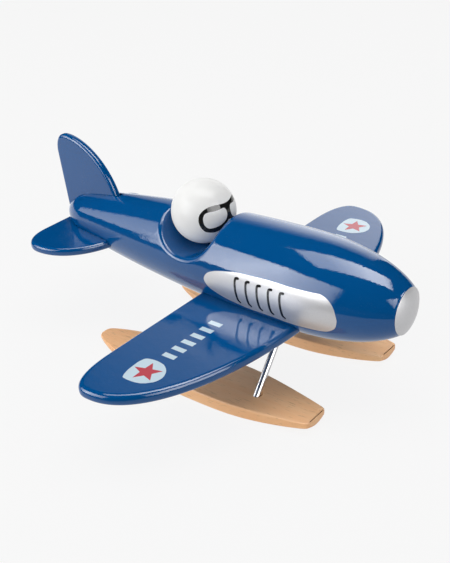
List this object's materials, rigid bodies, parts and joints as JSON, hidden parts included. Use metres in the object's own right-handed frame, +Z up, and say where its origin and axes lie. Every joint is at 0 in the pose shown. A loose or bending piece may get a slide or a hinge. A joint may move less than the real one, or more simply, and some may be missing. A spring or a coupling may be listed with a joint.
{
  "type": "wooden toy seaplane",
  "caption": "Turned wooden toy seaplane in blue lacquer with a ball-headed pilot, board wing and tail, and beech floats on steel rods; stands on its floats.",
  "frame": {"origin": "under the middle of the toy's bounding box, at the level of the surface that the floats stand on", "axes": "+X to the nose, +Y to port, +Z up"},
  "size_m": [0.2344, 0.2396, 0.1054],
  "materials": {
    "blue_lacquer": "deep blue gloss lacquer on wood",
    "silver_paint": "satin silver paint on wood",
    "white_lacquer": "white gloss lacquer on a wooden ball",
    "black_print": "black printed marks",
    "white_print": "white printed marks",
    "red_print": "red printed stars",
    "beech": "clear matt varnish on beech",
    "steel": "polished steel rod"
  },
  "bodies": {
    "root": {"fuselage": "blue_lacquer", "nose_cap": "silver_paint", "wing": "blue_lacquer", "tailplane": "blue_lacquer", "fin": "blue_lacquer", "pilot_head": "white_lacquer", "float_left": "beech", "float_right": "beech", "strut_front_left": "steel", "strut_front_right": "steel", "strut_rear_left": "steel", "strut_rear_right": "steel"}
  },
  "joints": []
}
